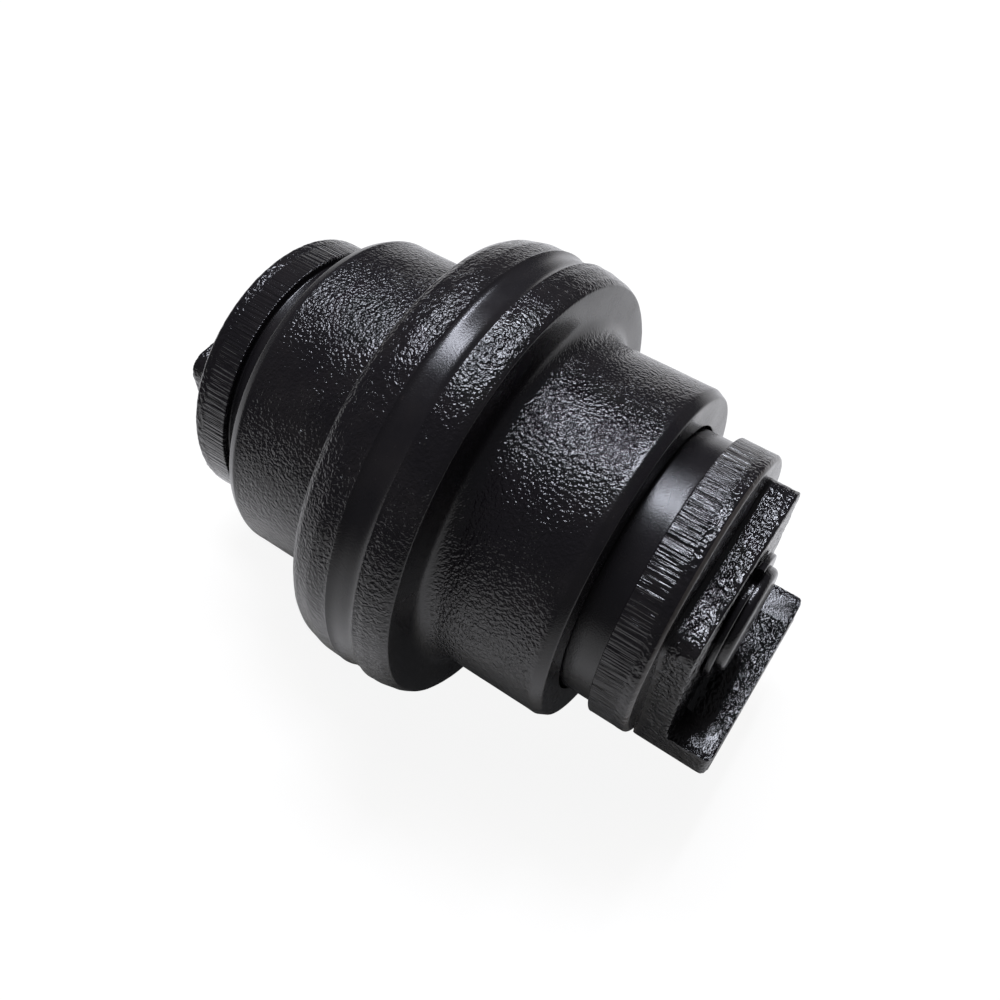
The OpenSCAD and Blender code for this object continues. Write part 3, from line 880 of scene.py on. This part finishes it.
class ROLLER_OT_studio(Operator):
    """Lay the floor, set the lamps and stand the camera"""
    bl_idname = "roller.studio"
    bl_label = "Studio"

    def lamp(self, name, direction, distance, along, across, power, tint):
        """A lamp that looks at the roller, with its first size along the roller axis."""
        data = bpy.data.lights.new(name, "AREA")
        data.shape, data.size, data.size_y, data.energy = "RECTANGLE", along, across, power
        data.color = linear(tint)[:3]
        obj = bpy.data.objects.new(name, data)
        back = Vector(direction).normalized()
        left = (Vector((0, 1, 0)) - back * back.y).normalized()
        obj.matrix_world = Matrix.Translation(back * distance) @ Matrix(
            (left, back.cross(left), back)).transposed().to_4x4()
        bpy.context.scene.collection.objects.link(obj)
        return obj

    def execute(self, context):
        s = context.scene.roller_studio
        low = cad_box[0].z
        deselect()
        bpy.ops.mesh.primitive_plane_add(size=6, location=(0, 0, low))
        floor = bpy.context.object
        floor.name = "paper_floor"
        place_in_mesh(floor)
        floor.data.materials.append(studio_floor(context.scene.roller_finish))
        self.lamp("strip softbox", (-0.25, -0.25, 0.93), distance=0.9, along=0.42, across=0.2,
                  power=s.key, tint="#eef2ff")
        self.lamp("tube lamp", (-0.44, -0.01, 0.90), distance=0.98, along=0.05, across=0.36,
                  power=s.glint, tint="#eef2ff")
        ceiling = self.lamp("ceiling", (-0.30, -0.20, 0.93), distance=1.6, along=1.2, across=1.2,
                            power=s.ceiling, tint="#fffaf2")
        ceiling.visible_glossy = False

        # A dark room in the gloss, and a pale backdrop for the eye
        world = bpy.data.worlds.new("room")
        world.use_nodes = True
        tree = world.node_tree
        tree.nodes.clear()
        room = node(tree, "ShaderNodeBackground", {"Color": linear("#dfe3ea"), "Strength": s.sky})
        backdrop = node(tree, "ShaderNodeBackground", {"Color": linear("#f6f6f6")})
        seen = node(tree, "ShaderNodeLightPath").outputs["Is Camera Ray"]
        both = node(tree, "ShaderNodeMixShader", {0: seen, 1: room, 2: backdrop})
        node(tree, "ShaderNodeOutputWorld", {"Surface": both})
        context.scene.world = world

        camera = bpy.data.cameras.new("camera")
        camera.lens, camera.sensor_width = s.lens, 36
        camera.clip_start = 0.01
        stand = bpy.data.objects.new("camera", camera)
        eye = (0.14524, 0.10579, 0.25043)
        forward = Vector((-0.4613, -0.3161, -0.8291)).normalized()
        across = forward.cross(Vector((0, 0, 1))).normalized()
        up = across.cross(forward)
        stand.matrix_world = Matrix.Translation(eye) @ Matrix(
            (across, up, -forward)).transposed().to_4x4()
        context.scene.collection.objects.link(stand)
        context.scene.camera = stand
        context.scene.view_settings.view_transform = "Standard"
        return {"FINISHED"}


class ROLLER_PT_panel(Panel):
    """Lists the roller's sizes and its making steps"""
    bl_label = "Track Roller"
    bl_idname = "ROLLER_PT_panel"
    bl_space_type = "VIEW_3D"
    bl_region_type = "UI"
    bl_category = "Track Roller"

    def draw(self, context):
        groups = (("Shell", "roller_shell"), ("Collars", "roller_collar"), ("Shaft", "roller_shaft"),
                  ("Finishes", "roller_finish"), ("Studio", "roller_studio"))
        for title, name in groups:
            box = self.layout.box()
            box.label(text=title)
            settings = getattr(context.scene, name)
            for prop in settings.__annotations__:
                box.prop(settings, prop)
        for operator in OPERATORS:
            self.layout.operator(operator.bl_idname)


OPERATORS = (ROLLER_OT_shell, ROLLER_OT_collars, ROLLER_OT_shaft, ROLLER_OT_rings,
             ROLLER_OT_inner_finishes, ROLLER_OT_studio)
GROUPS = {"roller_shell": ShellSizes, "roller_collar": CollarSizes, "roller_shaft": ShaftSizes,
          "roller_finish": FinishColours, "roller_studio": StudioSettings}


def register():
    for cls in (*GROUPS.values(), *OPERATORS, ROLLER_PT_panel):
        bpy.utils.register_class(cls)
    for name, cls in GROUPS.items():
        setattr(bpy.types.Scene, name, PointerProperty(type=cls))


def unregister():
    for name in GROUPS:
        delattr(bpy.types.Scene, name)
    for cls in reversed((*GROUPS.values(), *OPERATORS, ROLLER_PT_panel)):
        bpy.utils.unregister_class(cls)


def main():
    register()
    bpy.ops.roller.shell()
    bpy.ops.roller.collars()
    bpy.ops.roller.shaft()
    bpy.ops.roller.rings()
    bpy.ops.roller.inner_finishes()
    bpy.ops.roller.studio()


if __name__ == "__main__":
    main()
